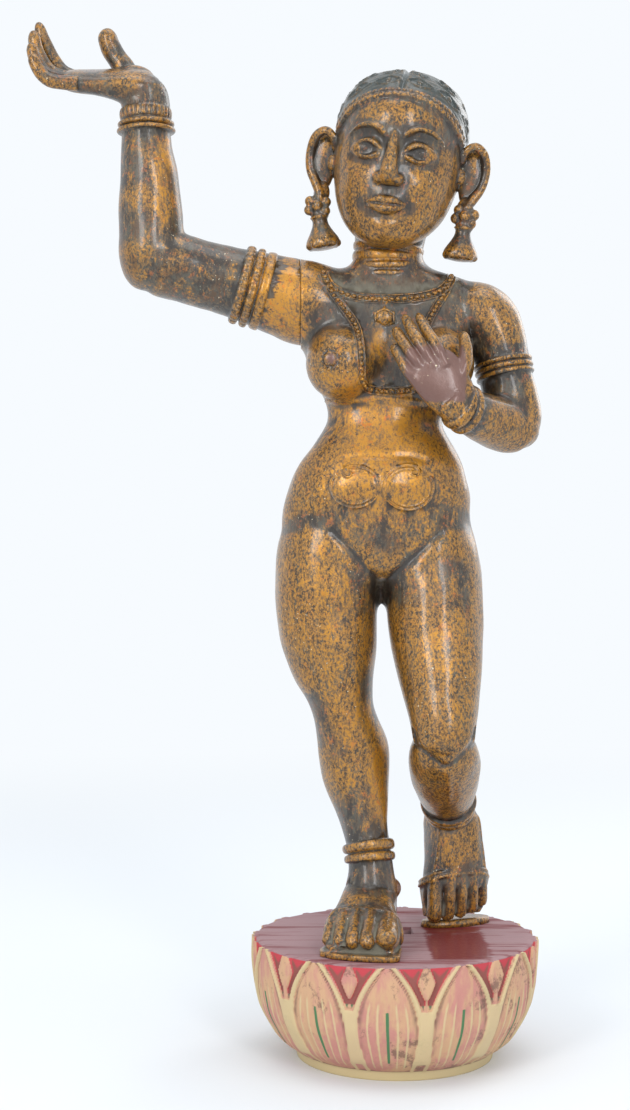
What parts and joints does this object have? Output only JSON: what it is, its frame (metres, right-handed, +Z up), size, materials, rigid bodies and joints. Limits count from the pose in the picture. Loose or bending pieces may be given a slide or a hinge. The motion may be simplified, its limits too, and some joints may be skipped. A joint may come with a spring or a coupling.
{
  "type": "apsara figure on lotus plinth",
  "caption": "Carved, lacquered and gilded wooden dancing figure with one arm raised, standing on a painted lotus plinth.",
  "frame": {"origin": "centre of the plinth's flat underside", "axes": "+Z up through the plinth and the figure, -Y towards the viewer whom the figure faces, +X to the viewer's right"},
  "size_m": [0.4082, 0.2302, 0.827],
  "materials": {
    "gilding": "worn gilding over dark lacquer on carved wood, glossy on the high places and dull in the hollows",
    "petal_paint": "thin worn paint in cream, pink, brown and green on carved wood, matt, over a dark red top"
  },
  "bodies": {
    "root": {"figure": "gilding", "raised_arm": "gilding", "lotus_plinth": "petal_paint"}
  },
  "joints": []
}
